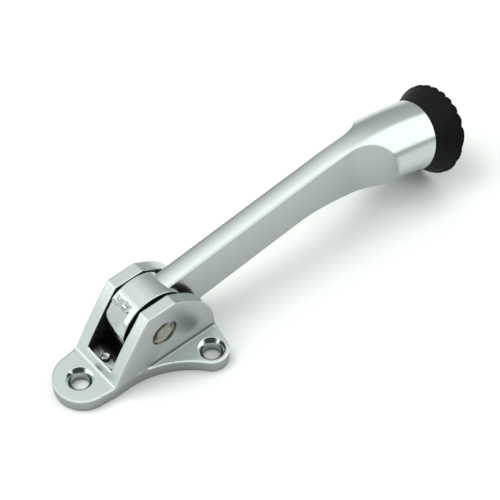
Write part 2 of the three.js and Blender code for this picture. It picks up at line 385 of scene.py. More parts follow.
def place(piece: bpy.types.Object, finish: bpy.types.Material, body: str, node: str) -> None:
    """Gives a piece in metres its finish and its place in the frame.

    Args:
        piece: the piece.
        finish: its material.
        body: the body that it moves with.
        node: the node that it stands for.
    """
    mark(piece, "edge_wear", edge_wear)
    piece.data.materials.clear()
    piece.data.materials.append(finish)
    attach(piece, body)
    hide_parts(node)
    LOG.info("%s: %d faces", piece.name, len(piece.data.polygons))


def arc(
    centre: Point2, radius: float, start: float, stop: float, steps: int, radius_b: float = 0
) -> list[Point2]:
    """Gives points along an arc.

    Args:
        centre: the arc's centre.
        radius: its radius, or its first half axis.
        start: the first angle in degrees.
        stop: the last one.
        steps: how many steps lie between them.
        radius_b: the second half axis, when the arc is part of an ellipse.

    Returns:
        The points, both ends included.
    """
    second = radius_b or radius
    angles = [math.radians(start + (stop - start) * i / steps) for i in range(steps + 1)]
    return [(centre[0] + radius * math.cos(a), centre[1] + second * math.sin(a)) for a in angles]


def smooth_line(points: Sequence[Point2], steps: int) -> list[Point2]:
    """Runs a smooth line through points.

    Args:
        points: the points that it passes.
        steps: how many steps lie between two of them.

    Returns:
        The line's points, from the first to the last.
    """
    line: list[Point2] = []
    last = len(points) - 1
    for i in range(last):
        before, here = Vector(points[max(i - 1, 0)]), Vector(points[i])
        there, after = Vector(points[i + 1]), Vector(points[min(i + 2, last)])
        for k in range(steps):
            t = k / steps
            bend = 2 * here + (there - before) * t
            bend += (2 * before - 5 * here + 4 * there - after) * t**2
            bend += (3 * here - before - 3 * there + after) * t**3
            line.append(tuple(bend * 0.5))
    line.append(tuple(points[-1]))
    return line


def ease_step(value: float, low: float, high: float) -> float:
    """Returns 0 below low, 1 above high and a soft step between them."""
    share = min(max((value - low) / (high - low), 0), 1)
    return share * share * (3 - 2 * share)


# ---- shared sizes ---------------------------------------------------------------------------------------

PIVOT_Z = 17.0
EAR_FACE = 10.65
PIN_RADIUS = 3.2
CLEAR = 0.3  # the gap round a pin, screw or stem


def pin_way(height: float) -> bpy.types.Object:
    """Makes the cutter of the pin's bore, along Y.

    Args:
        height: how high its axis lies.

    Returns:
        The cutter.
    """
    bore, reach = PIN_RADIUS + CLEAR, 20
    way = turned("way", mirrored([(reach, bore), (reach, 0)]), 64)
    return lay(way, across_y(), (0, 0, height))


# ---- bracket --------------------------------------------------------------------------------------------


@dataclass
class Bracket:
    """The cast foot plate with its two ears, in millimetres."""

    thick: float = 4.7
    half_width: float = EAR_FACE
    rear_x: float = 20.3
    flank_radius: float = 30.0
    front_lobe: tuple[float, float] = (-25.3, 10.1)
    rear_lobe: tuple[float, float, float] = (12.9, 18.0, 5.8)
    front_hole_x: float = -26.7
    hole_radius: float = 3.0
    sink_radius: float = 4.5
    ear_inner: float = 6.15
    ear_foot_x: float = -20.5
    ear_top: tuple[float, float, float] = (28.3, -5.8, 5.0)
    ear_belly: float = 0.5
    ear_back: tuple[Point2, ...] = ((10.5, 24.7), (14.5, 21.0), (17.7, 16.2), (19.7, 11.0))
    sill_z: float = 7.9
    sill_back_x: float = -18.0
    ledge: tuple[float, float] = (5.5, -13.9)
    pocket: tuple[float, float] = (1.3, 14.0)
    pin_well: tuple[float, float] = (4.85, 1.65)
    proud: float = 0.03  # by which the ears' block is wider than the plate, for a clean union
    grain: float = 0.3
    shade_front: float = -18.6  # where the slot's shade sets in
    shade_top: float = 28.0
    floor_top: float = 6.5
    hole_shade_top: float = 3.6
    crease_shade_front: float = -9.0  # where the painted shade line in the crease between ear and wing sets in

    def flank(self) -> list[Point2]:
        """Returns the plate's outline on the +Y side, from the rear edge round to the front."""
        steps = 32
        lobe_x, lobe_y, lobe_r = self.rear_lobe
        centre_y = self.half_width + self.flank_radius
        rise = centre_y - lobe_y
        centre_x = lobe_x - math.sqrt((self.flank_radius + lobe_r) ** 2 - rise**2)
        join = math.degrees(math.atan2(-rise, lobe_x - centre_x))
        reach = math.hypot(self.rear_x - lobe_x, self.half_width - lobe_y)
        corner = math.degrees(math.atan2(self.half_width - lobe_y, self.rear_x - lobe_x))
        leave = corner + math.degrees(math.acos(lobe_r / reach))
        front_x, front_r = self.front_lobe
        return [
            (self.rear_x, self.half_width),
            *arc((lobe_x, lobe_y), lobe_r, leave, join + 180, steps),
            *arc((centre_x, centre_y), self.flank_radius, join, -90, 30)[1:],
            (self.ear_foot_x, self.half_width),
            *arc((front_x, 0), front_r, 90, 180, steps),
        ]

    def plate(self) -> bpy.types.Object:
        """Returns the three-lobed plate."""
        flank = self.flank()
        other = [(x, -y) for x, y in flank[:-1]]
        return solid("plate", flank + other[::-1], Plane.PLAN, 0, self.thick)

    def ears(self) -> bpy.types.Object:
        """Returns the raised block that both ears and the sill are cut from."""
        top_z, top_front, top_rear = self.ear_top
        back = smooth_line([(top_rear, top_z), *self.ear_back, (self.rear_x, self.thick)], 8)
        foot, top = Vector((self.ear_foot_x, self.thick)), Vector((top_front, top_z))
        out = Vector((foot.y - top.y, top.x - foot.x)).normalized() * 4 * self.ear_belly
        shares = [i / 12 for i in range(1, 12)]
        front = [tuple(top.lerp(foot, share) + out * share * (1 - share)) for share in shares]
        sunk = 1
        outline = [
            (self.ear_foot_x, sunk),
            (self.rear_x, sunk),
            *back[::-1],
            (top_front, top_z),
            *front,
            (self.ear_foot_x, self.thick),
        ]
        half = self.half_width + self.proud
        return solid("ears", outline, Plane.SIDE, -half, half)

    def slot(self) -> bpy.types.Object:
        """Returns what is cut out between the ears: the slot, the ledge and the pocket."""
        ledge_z, ledge_back = self.ledge
        floor_z, pocket_rear = self.pocket
        outline = [
            (-FAR, self.sill_z),
            (self.sill_back_x, self.sill_z),
            (self.sill_back_x, ledge_z),
            (ledge_back, ledge_z),
            (ledge_back, floor_z),
            (pocket_rear, floor_z),
            (pocket_rear, self.thick),
            (FAR, self.thick),
            (FAR, FAR),
            (-FAR, FAR),
        ]
        return solid("slot", outline, Plane.SIDE, -self.ear_inner, self.ear_inner)

    def holes(self) -> list[Point2]:
        """Returns where the three screw holes lie in plan."""
        x, y, _ = self.rear_lobe
        return [(self.front_hole_x, 0), (x, y), (x, -y)]

    def sink(self, x: float, y: float) -> bpy.types.Object:
        """Makes the cutter of one countersunk screw hole.

        Args:
            x: where the hole lies along X.
            y: where it lies along Y.

        Returns:
            The cutter.
        """
        seat = self.thick - (self.sink_radius - self.hole_radius)
        lip = 0.12
        profile = [
            (-1, 0),
            (-1, self.hole_radius),
            (seat - lip, self.hole_radius),
            (seat, self.hole_radius + lip * 0.3),
            (self.thick - lip, self.sink_radius - lip),
            (self.thick - lip * 0.3, self.sink_radius - lip * 0.1),
            (self.thick + 0.02, self.sink_radius + lip * 1.1),
            (self.thick + 1, self.sink_radius + lip * 1.6),
            (self.thick + 1, 0),
        ]
        return lay(turned("sink", profile, 96), Matrix.Identity(3), (x, y, 0))

    def build(self) -> bpy.types.Object:
        """Builds the bracket.

        Returns:
            The casting, in millimetres.
        """
        body = change(self.plate(), self.ears(), Cut.ON)
        body = change(body, self.slot(), Cut.AWAY)
        recast(body, self.grain)
        radius, depth = self.pin_well
        for side in (-1, 1):
            well = turned("well", [(-depth, 0), (-depth, radius), (1, radius), (1, 0)], 96)
            turn = Matrix.Rotation(-side * math.pi / 2, 3, "X")
            change(body, lay(well, turn, (0, side * self.half_width, PIVOT_Z)), Cut.AWAY)
        change(body, pin_way(PIVOT_Z), Cut.AWAY)
        for x, y in self.holes():
            change(body, self.sink(x, y), Cut.AWAY)
        body.name = "bracket_casting"
        return body

    def hole_reach(self, x: float, y: float) -> float:
        """Returns how far a place in plan lies from the axis of the nearest screw hole."""
        return min(math.hypot(x - hole_x, y - hole_y) for hole_x, hole_y in self.holes())

    def depth(self, vertex: bmesh.types.BMVert) -> float:
        """Says how much painted shade a point gets where shade falls: the slot, the holes, the crease at
        the root of an ear.

        Args:
            vertex: the point, in metres.

        Returns:
            0 on the open faces, up to 1 in the depth.
        """
        x, y, z = vertex.co / METRE
        facing = vertex.normal
        slot = ease_step(self.ear_inner + 0.25 - abs(y), 0, 0.3)
        slot *= ease_step(x, self.shade_front, self.shade_front + 1)
        wall = ease_step(abs(facing.y), 0.5, 0.9)
        slot *= max(wall, ease_step(self.floor_top - z, 0, 1)) * ease_step(self.shade_top - z, 0, 6)
        hole = ease_step(self.hole_radius + 0.4 - self.hole_reach(x, y), 0, 0.3)
        hole *= ease_step(self.hole_shade_top - z, 0, 2.5)
        root = ease_step(0.75 - abs(abs(y) - self.half_width), 0, 0.3)
        root *= ease_step(0.6 - abs(z - self.thick), 0, 0.25)
        root *= ease_step(x, self.crease_shade_front, self.crease_shade_front + 4)
        root *= ease_step(facing.z, 0.1, 0.3) * ease_step(0.97 - facing.z, 0, 0.1)
        return max(slot, 0.75 * hole, 0.8 * root)

    def dull(self, spot: Vector, facing: Vector) -> float:
        """Says how dull the skin is: the rim stays as cast, the ears' sides are brushed, the sinks are cut;
        the rim's and sides' darker colour is partly painted shade.

        Args:
            spot: the place, in millimetres.
            facing: the way that the skin faces there.

        Returns:
            The dullness, on the scale of Skin.
        """
        if self.hole_reach(spot.x, spot.y) < self.sink_radius + 0.05 and spot.z < self.thick - 0.1:
            return Skin.CUT.value
        side = ease_step(abs(facing.y), 0.55, 0.9)
        rim = ease_step(self.thick - 0.25 - spot.z, 0, 0.5) * ease_step(0.8 - facing.z, 0, 0.4)
        return max(Skin.BRUSHED.value * side, Skin.CAST.value * rim)

    def dress(self, body: bpy.types.Object, finish: bpy.types.Material) -> None:
        """Gives the bracket its finish and its place in the frame.

        Args:
            body: the casting, in millimetres.
            finish: its material.
        """
        to_metres(body, 32)
        # painted shade in the slot, the holes and the crease at each ear's root
        mark(body, "depth", self.depth)
        mark_skin(body, self.dull)
        place(body, finish, "base", "base_bracket")


# ---- lever ----------------------------------------------------------------------------------------------


@dataclass
class Lever:
    """The cast lever with its hub, shank and cup, in millimetres about the pivot."""

    hub_radius: float = 12.35
    hub_half: float = 5.26
    flat_depth: float = 0.9
    flat_from: float = 131
    flat_to: float = 172
    flat_rim: float = 2.1
    shank_radius: float = 9.14
    shank_half: float = 3.5
    shank_pitch: float = 6.76
    shank_lift: float = 0.2
    shank_length: float = 60
    mouth: Point2 = (115.2, 1.25)
    mouth_pitch: float = -18.34
    swell: float = 2.4
    swell_span: tuple[float, float] = (0.05, 0.6)
    taper: float = 0.85
    scoop_x: float = 84.9
    scoop_reach: float = 15.0
    scoop_depth: float = 12.0
    relief_radius: float = 14.0
    relief_angle: float = 190
    relief_depth: float = 1.4
    relief_from_y: float = -3.0
    socket_radius: float = 8.0
    socket_depth: float = 9.6
    edge: float = 0.22
    gate_rows: tuple[Point2, ...] = ((130.5, -0.1), (126.0, -0.24), (121.0, -0.22))
    gate_from_y: float = -2.3
    gate_width: float = 6.2

    def stations(self) -> list[tuple[Point2, float, float]]:
        """Returns the lever's sections: the centre in X and Z, the pitch in radians and the radius."""
        slope = math.tan(math.radians(self.shank_pitch))
        mouth = Vector(self.mouth)
        mouth_slope = math.tan(math.radians(self.mouth_pitch))
        elbow_x = (mouth.y - mouth.x * mouth_slope - self.shank_lift) / (slope - mouth_slope)
        elbow = Vector((elbow_x, self.shank_lift + elbow_x * slope))
        start = Vector((self.shank_length, self.shank_lift + self.shank_length * slope))
        pitch = math.radians(self.shank_pitch)
        found = []
        first_x, straights = 2, 8
        for i in range(straights):
            x = first_x + (self.shank_length - first_x) * i / straights
            found.append(((x, self.shank_lift + x * slope), pitch, self.shank_radius))
        steps = 36
        for i in range(steps + 1):
            t = i / steps
            at = start * (1 - t) ** 2 + elbow * 2 * t * (1 - t) + mouth * t**2
            along = (elbow - start) * (1 - t) + (mouth - elbow) * t
            radius = self.shank_radius + self.swell * ease_step(t, *self.swell_span) + self.taper * t**2
            found.append((tuple(at), math.atan2(along.y, along.x), radius))
        return found

    def bar(self) -> bpy.types.Object:
        """Returns the round bar from the pivot to the cup's mouth, extruded ring by ring."""
        clear_bench()
        stations = self.stations()
        (x, z), pitch, radius = stations[0]
        bpy.ops.mesh.primitive_circle_add(vertices=128, radius=radius, fill_type="NGON")
        bar = bpy.context.object
        bar.name = "lever_casting"
        lay(bar, Matrix.Rotation(math.pi / 2 - pitch, 3, "Y"), (x, 0, z))
        edit(bar, "FACE")
        bpy.ops.mesh.select_all(action="SELECT")
        for here, there in zip(stations, stations[1:]):
            (x0, z0), pitch0, radius0 = here
            (x1, z1), pitch1, radius1 = there
            step = (x1 - x0, 0, z1 - z0)
            bpy.ops.mesh.extrude_region_move(TRANSFORM_OT_translate={"value": step})
            bm = bmesh.from_edit_mesh(bar.data)
            centre = Vector((x1, 0, z1))
            turn = Matrix.Rotation(pitch0 - pitch1, 3, "Y") * (radius1 / radius0)
            for vertex in (v for v in bm.verts if v.select):
                vertex.co = centre + turn @ (vertex.co - centre)
            bmesh.update_edit_mesh(bar.data)
        shut()
        tidy_mesh(bar)
        return bar

    def scoop(self, side: int) -> bpy.types.Object:
        """Makes the cutter of one milled side of the shank, with its round runout.

        Args:
            side: 1 for the +Y side, -1 for the other.

        Returns:
            The cutter.
        """
        start_x = -1
        centre = (self.scoop_x, self.shank_half + self.scoop_depth)
        runout = arc(centre, self.scoop_reach, -90, 0, 64, self.scoop_depth)
        end_x = self.scoop_x + self.scoop_reach
        outline = [(start_x, self.shank_half), *runout, (end_x, FAR), (start_x, FAR)]
        return solid("scoop", [(x, side * y) for x, y in outline], Plane.PLAN, -FAR, FAR)

    def hub(self) -> bpy.types.Object:
        """Returns the hub with its eased rims, its cam flat and its relieved corner."""
        rim, beyond = 0.35, 1
        knee = rim * 0.3
        half, radius = self.hub_half, self.hub_radius
        profile = [(half - rim, radius), (half - knee, radius - knee), (half, radius - rim), (half, 0)]
        hub = lay(turned("hub", mirrored(profile), 256), across_y())
        foot_r = radius - self.flat_depth
        foot_a, run_a = math.radians(self.flat_from), math.radians(self.flat_to)
        foot = (foot_r * math.cos(foot_a), foot_r * math.sin(foot_a))
        run = (radius * math.cos(run_a), radius * math.sin(run_a))
        outline = [*arc((0, 0), radius + beyond, self.flat_from, self.flat_to, 24), run, foot]
        change(hub, solid("flat", outline, Plane.SIDE, -half + self.flat_rim, half + beyond), Cut.AWAY)
        return change(hub, self.relief(), Cut.WITHIN)

    def relief(self) -> bpy.types.Object:
        """Returns the leaning round that takes down the hub's far corner, low at the front."""
        angle, big = math.radians(self.relief_angle), self.relief_radius
        out = Vector((math.cos(angle), 0, math.sin(angle)))
        near = out * (self.hub_radius - big) + Vector((0, self.relief_from_y, 0))
        far = out * (self.hub_radius - self.relief_depth - big) + Vector((0, self.hub_half, 0))
        lean = Vector((0, 0, 1)).rotation_difference(far - near).to_matrix()
        below, above = -20, 30
        blank = turned("relief", [(below, 0), (below, big), (above, big), (above, 0)], 256)
        return lay(blank, lean, tuple(near))

    def build(self) -> bpy.types.Object:
        """Builds the lever.

        Returns:
            The casting, in millimetres about the frame's origin.
        """
        body = self.bar()
        for side in (-1, 1):
            change(body, self.scoop(side), Cut.AWAY)
        change(body, self.hub(), Cut.ON)
        change(body, pin_way(0), Cut.AWAY)
        low, high, radius = -self.socket_depth, 1, self.socket_radius
        hollow = turned("hollow", [(low, 0), (low, radius), (high, radius), (high, 0)], 96)
        tip = Matrix.Rotation(math.pi / 2 - math.radians(self.mouth_pitch), 3, "Y")
        change(body, lay(hollow, tip, (self.mouth[0], 0, self.mouth[1])), Cut.AWAY)
        tidy_mesh(body, LOOSE_MERGE)
        soften(body, self.edge)
        for scar in self.gate():
            change(body, scar, Cut.ON)
        lay(body, Matrix.Identity(3), (0, 0, PIVOT_Z))
        body.name = "lever_casting"
        return body

    def gate(self) -> list[bpy.types.Object]:
        """Returns the torn crumbs of metal that the casting's gate left beside the flat's step."""
        chance = random.Random(7)
        most = 6
        crumbs = []
        for row, (angle, rise) in enumerate(self.gate_rows):
            for k in range(most - row):
                clear_bench()
                bpy.ops.mesh.primitive_ico_sphere_add(subdivisions=2, radius=1)
                crumb = bpy.context.object
                for vertex in crumb.data.vertices:
                    vertex.co *= 0.75 + 0.45 * chance.random()
                long, wide, high = 0.5 + 0.3 * chance.random(), 0.8 + 0.9 * chance.random(), 0.45
                take(crumb)
                bpy.ops.transform.resize(value=(long, wide, high))
                bpy.ops.object.transform_apply(location=True, rotation=True, scale=True)
                turn = math.radians(angle + 3 * chance.random() - 1.5)
                out = self.hub_radius + rise
                y = self.gate_from_y + self.gate_width * (k + 0.5 * chance.random()) / (most - 0.5 - row)
                spot = (out * math.cos(turn), y, out * math.sin(turn))
                crumbs.append(lay(crumb, Matrix.Rotation(math.pi / 2 - turn, 3, "Y"), spot))
        return crumbs

    def dull(self, spot: Vector, facing: Vector) -> float:
        """Says how dull the skin is: milled sides and cam flat are less buffed than the round back; their
        darker colour is partly painted shade.

        Args:
            spot: the place, in millimetres.
            facing: the way that the skin faces there.

        Returns:
            The dullness, on the scale of Skin.
        """
        x, y, z = spot.x, abs(spot.y), spot.z - PIVOT_Z
        sideways = abs(facing.y)
        past = max(x - self.scoop_x, 0) / self.scoop_reach
        across = (y - self.shank_half - self.scoop_depth) / self.scoop_depth
        runout = x > self.hub_radius and past**2 + across**2 < 1.02
        if sideways > 0.3 and (y < self.shank_half + 0.05 or runout):
            return Skin.MILLED.value
        angle, out = math.degrees(math.atan2(z, x)), math.hypot(x, z)
        on_flat = self.flat_from - 2 < angle < self.flat_to and out < self.hub_radius - 0.05
        if on_flat and sideways < 0.5:
            return Skin.WORN_FLAT.value
        if x < 0 < z and out > self.hub_radius + 0.02:
            return Skin.CAST.value
        return Skin.BUFFED.value

    def dress(self, body: bpy.types.Object, finish: bpy.types.Material) -> None:
        """Gives the lever its finish and its place in the frame.

        Args:
            body: the casting, in millimetres.
            finish: its material.
        """
        to_metres(body, 32)
        modify(body, "WEIGHTED_NORMAL", keep_sharp=True, weight=80)
        mark_skin(body, self.dull)
        place(body, finish, "lever", "lever")


# ---- pivot ----------------------------------------------------------------------------------------------


@dataclass
class Pivot:
    """The riveted pin and the two thin washers beside the hub, in millimetres."""

    head_radius: float = 4.7
    face: float = 10.3
    head_thick: float = 1.0
    washer_radius: float = 6.0
    washer_thick: float = 0.5
    washer_y: float = 5.615

    def pin(self) -> bpy.types.Object:
        """Returns the pin with a closed head at each end, each with the former's shallow ring."""
        face, radius = self.face, self.head_radius
        under = face - self.head_thick
        head = [
            (under - 0.4, PIN_RADIUS),
            (under, PIN_RADIUS + 0.1),
            (under, radius - 0.05),
            (face - 0.62, radius),
            (face - 0.42, radius - 0.06),
            (face - 0.28, radius - 0.24),
            (face - 0.17, radius - 0.55),
            (face - 0.1, radius - 0.95),
            (face - 0.05, radius - 1.5),
            (face - 0.03, radius - 1.9),
            (face - 0.01, radius - 2.3),
            (face, radius - 3.1),
            (face - 0.04, 1.1),
            (face - 0.1, 0.5),
            (face - 0.11, 0),
        ]
        return lay(turned("rivet_pin", mirrored(head), 96), across_y(), (0, 0, PIVOT_Z))

    def painted_rim_shadow(self, vertex: bmesh.types.BMVert) -> float:
        """Says how much painted shadow a point of the heads gets: the well's rim shades their upper front.

        Args:
            vertex: the point, in metres.

        Returns:
            0 on the open face, up to 1 in the painted shadow.
        """
        x, _, z = vertex.co / METRE
        reach = math.hypot(x, z - PIVOT_Z)
        upper = math.cos(math.atan2(z - PIVOT_Z, x) - math.radians(135))
        return 0.95 * ease_step(reach, 1.9, 3.3) * ease_step(upper, 0, 0.7)

    def washer(self, side: int) -> bpy.types.Object:
        """Makes the washer on one side of the hub.

        Args:
            side: 1 for the far side, -1 for the near one.

        Returns:
            The washer.
        """
        half, inner, outer = self.washer_thick / 2, PIN_RADIUS + CLEAR, self.washer_radius
        rim = 0.12
        profile = [(half - rim, outer), (half, outer - rim), (half, inner + rim), (half - rim, inner)]
        name = "washer_far_ring" if side > 0 else "washer_near_ring"
        ring = turned(name, mirrored(profile), 72, True)
        return lay(ring, across_y(), (0, side * self.washer_y, PIVOT_Z))

    def build(self, pin_finish: bpy.types.Material, washer_finish: bpy.types.Material) -> None:
        """Builds and dresses the pin and both washers.

        Args:
            pin_finish: the pin's material.
            washer_finish: the washers' material.
        """
        pin = self.pin()
        to_metres(pin, 45)
        # painted shadow of the well's rim on the heads' upper front
        mark(pin, "depth", self.painted_rim_shadow)
        place(pin, pin_finish, "base", "pivot_pin")
        for side, node in ((-1, "pivot_washer_near"), (1, "pivot_washer_far")):
            ring = self.washer(side)
            to_metres(ring)
            place(ring, washer_finish, "base", node)


# ---- spring ---------------------------------------------------------------------------------------------


@dataclass
class LeafSpring:
    """The bent strip under the hub and its rivet, in millimetres."""

    thick: float = 0.8
    half_width: float = 5.4
    hole_radius: float = 1.4
    rivet_x: float = -16.0
    rivet_seat: float = 6.9
    rivet_tail: float = 2.4
    corner: float = 1.6
    edge: float = 0.1
    path: tuple[Point2, ...] = (
        (-17.6, 6.2),
        (-15.0, 6.2),
        (-13.2, 6.0),
        (-11.8, 4.6),
        (-10.0, 2.95),
        (-6.5, 2.6),
        (-2.8, 3.6),
        (0.4, 3.85),
        (4.2, 3.2),
        (8.0, 2.15),
        (11.5, 2.0),
    )

    def strip(self) -> bpy.types.Object:
        """Returns the strip, with its corners rounded in plan and its edges eased."""
        line = [Vector(p) for p in smooth_line(self.path, 8)]
        upper, lower = [], []
        for i, here in enumerate(line):
            along = (line[min(i + 1, len(line) - 1)] - line[max(i - 1, 0)]).normalized()
            side = Vector((-along.y, along.x)) * self.thick / 2
            upper.append(tuple(here + side))
            lower.append(tuple(here - side))
        half = self.half_width
        strip = solid("spring_strip", lower + upper[::-1], Plane.SIDE, -half, half)
        corner, high, bore = self.corner, 12, self.hole_radius
        front, rear, side = self.path[0][0] + corner, self.path[-1][0] - corner, half - corner
        plan = []
        for k, centre in enumerate(((rear, side), (front, side), (front, -side), (rear, -side))):
            plan += arc(centre, corner, 90 * k, 90 * k + 90, 10)
        change(strip, solid("plan", plan, Plane.PLAN, 0, FAR), Cut.WITHIN)
        hole = turned("hole", [(0, 0), (0, bore), (high, bore), (high, 0)], 48)
        change(strip, lay(hole, Matrix.Identity(3), (self.rivet_x, 0, 0)), Cut.AWAY)
        tidy_mesh(strip, LOOSE_MERGE)
        soften(strip, self.edge)
        return strip

    def rivet(self) -> bpy.types.Object:
        """Returns the rivet, whose head is peened to a ragged ring."""
        seat, tail, shaft = self.rivet_seat, self.rivet_tail, 1.1
        profile = [
            (tail, 0),
            (tail, shaft),
            (seat - 0.1, shaft),
            (seat, 1.55),
            (seat + 0.12, 1.75),
            (seat + 0.45, 1.66),
            (seat + 0.78, 1.35),
            (seat + 0.95, 1.05),
            (seat + 0.9, 0.78),
            (seat + 0.6, 0.5),
            (seat + 0.5, 0.22),
            (seat + 0.5, 0),
        ]
        rivet = turned("peened_rivet", profile, 40)
        chance = random.Random(3)
        waves = [(chance.random() * FULL_TURN, 0.10 / (k + 1)) for k in range(4)]
        for vertex in rivet.data.vertices:
            if vertex.co.z > seat + 0.05:
                angle = math.atan2(vertex.co.y, vertex.co.x)
                swell = 0.0
                for k, (start, size) in enumerate(waves):
                    swell += size * math.sin((k + 2) * angle + start)
                vertex.co.x *= 1 + swell * 0.5
                vertex.co.y *= 1 + swell * 0.5
                vertex.co.z += swell * 0.8
        return lay(rivet, Matrix.Identity(3), (self.rivet_x, 0, 0))

    def depth(self, vertex: bmesh.types.BMVert) -> float:
        """Says how much painted shade a point of the strip gets where it runs into the shade under the hub.

        Args:
            vertex: the point, in metres.

        Returns:
            0 on the ledge, 1 in the pocket.
        """
        shade_from, shade_to = -15.9, -14.6
        return ease_step(vertex.co.x / METRE, shade_from, shade_to)

    def build(self, steel: bpy.types.Material, peened: bpy.types.Material) -> None:
        """Builds and dresses the strip and its rivet.

        Args:
            steel: the strip's material.
            peened: the rivet's material.
        """
        strip = self.strip()
        to_metres(strip)
        # painted shade where the strip runs under the hub
        mark(strip, "depth", self.depth)
        place(strip, steel, "base", "leaf_spring")
        rivet = self.rivet()
        to_metres(rivet, 50)
        place(rivet, peened, "base", "spring_rivet")


# ---- foot -----------------------------------------------------------------------------------------------


@dataclass
class Foot:
    """The ribbed rubber foot with its washer and screw, in millimetres about the cup's mouth."""

    mouth: Point3 = (115.2, 0, 18.25)
    pitch: float = -18.34
    neck_radius: float = 11.8
    sole_radius: float = 15.75
    length: float = 10.65
    stem_radius: float = 7.7
    stem_depth: float = 9.3
    rib_pitch: float = 3.4
    rib_height: float = 0.85
    rib_power: float = 0.6
    ribs: int = 12
    lean: float = 0.35
    grain: float = 0.22
    screw_radius: float = 2.0
    screw_length: float = 17.0
    screw_head: tuple[float, float] = (3.7, 2.2)
    well: tuple[float, float] = (4.6, 5.4)
    washer: tuple[float, float] = (4.2, 0.8)

    def in_place(self, piece: bpy.types.Object) -> bpy.types.Object:
        """Lays a piece drawn about Z into the cup's mouth, and returns it."""
        return lay(piece, Matrix.Rotation(math.pi / 2 - math.radians(self.pitch), 3, "Y"), self.mouth)

    def rubber(self) -> bpy.types.Object:
        """Returns the rubber foot: a flared cone with rounded ribs across its sole and a well in it."""
        length, sole = self.length, self.sole_radius
        bore = self.screw_radius + CLEAR
        well_radius, well_depth = self.well
        floor = length - well_depth - CLEAR
        profile = [
            (-self.stem_depth, bore),
            (-self.stem_depth, self.stem_radius - 0.4),
            (-self.stem_depth + 0.4, self.stem_radius),
            (CLEAR, self.stem_radius),
            (CLEAR, self.neck_radius - 0.3),
            (CLEAR + 0.25, self.neck_radius),
            (4.0, self.neck_radius + 1.05),
            (length - 1.8, sole - 0.85),
            (length - 1.0, sole - 0.25),
            (length - 0.5, sole),
            (length + 0.3, sole),
            (length + 0.3, well_radius + 0.3),
            (length - 1.0, well_radius),
            (floor, well_radius),
            (floor, bore),
        ]
        foot = turned("ribbed_foot", profile, 160, True)
        steps = 16 * self.ribs
        reach = self.ribs / 2 * self.rib_pitch
        beyond = length + 4
        comb = [(-reach, beyond)]
        for i in range(steps + 1):
            y = -reach + 2 * reach * i / steps
            ridge = abs(math.cos(math.pi * y / self.rib_pitch)) ** self.rib_power
            comb.append((y, length - self.rib_height * (1 - ridge)))
        comb.append((reach, beyond))
        ribs = solid("ribs", comb, Plane.SIDE, -2 * sole, 2 * sole)
        change(foot, lay(ribs, Matrix.Rotation(math.pi / 2, 3, "Z")), Cut.AWAY)
        recast(foot, self.grain)
        modify(foot, "DECIMATE", ratio=0.5)
        for vertex in foot.data.vertices:
            vertex.co.y -= self.lean * max(vertex.co.z, 0) / length
        return self.in_place(foot)

    def ring(self) -> bpy.types.Object:
        """Returns the washer under the screw's head."""
        seat = self.length - self.well[1]
        radius, thick = self.washer
        bore = self.screw_radius + CLEAR
        rim = 0.15
        profile = [
            (seat, bore),
            (seat, radius - rim),
            (seat + rim, radius),
            (seat + thick - rim, radius),
            (seat + thick, radius - rim),
            (seat + thick, bore + rim),
            (seat + thick - rim, bore),
        ]
        return self.in_place(turned("foot_ring", profile, 64, True))

    def screw(self) -> bpy.types.Object:
        """Returns the pan-head screw with its thread and its cross recess."""
        seat = self.length - self.well[1] + self.washer[1] + CLEAR
        head_radius, head_thick = self.screw_head
        core = self.screw_radius - 0.35
        tip, point, plain = seat - self.screw_length, 0.6, 2.5
        profile = [(tip, 0), (tip, core * 0.7)]
        turns = 18
        pitch = (self.screw_length - plain) / turns
        for k in range(turns):
            low = tip + point + k * pitch
            profile += [(low, core), (low + pitch * 0.5, self.screw_radius)]
        profile += [
            (seat - 1.2, core),
            (seat, core),
            (seat, head_radius - 0.1),
            (seat + 0.15, head_radius),
            (seat + head_thick * 0.45, head_radius * 0.97),
            (seat + head_thick * 0.72, head_radius * 0.82),
            (seat + head_thick * 0.92, head_radius * 0.5),
            (seat + head_thick, 0),
        ]
        screw = turned("pan_screw", profile, 64)
        top = seat + head_thick
        arm, half = [(0.5, top - 1.5), (1.5, top - 1.1), (2.1, top + 0.5)], 0.42
        for turn in (0, math.pi / 2):
            slot = solid("slot", mirrored(arm), Plane.SIDE, -half, half)
            change(screw, lay(slot, Matrix.Rotation(turn, 3, "Z")), Cut.AWAY)
        return self.in_place(screw)

    def build(self, rubber: bpy.types.Material, zinc: bpy.types.Material) -> None:
        """Builds and dresses the foot, its washer and its screw.

        Args:
            rubber: the foot's material.
            zinc: the material of the washer and the screw.
        """
        foot = self.rubber()
        to_metres(foot, 60)
        place(foot, rubber, "lever", "rubber_foot")
        for piece, node in ((self.ring(), "foot_washer"), (self.screw(), "foot_screw")):
            to_metres(piece)
            place(piece, zinc, "lever", node)


# ---- finishes -------------------------------------------------------------------------------------------


Socket = bpy.types.NodeSocket
SHADE = (0.012, 0.012, 0.012)  # the colour that painted shade darkens a recess of a metal to
DULL_AND_SHADE_TINT = (0.51, 0.47, 0.48)  # what a wholly dull skin multiplies a metal's colour by; on sideways faces this darkening is partly painted shade
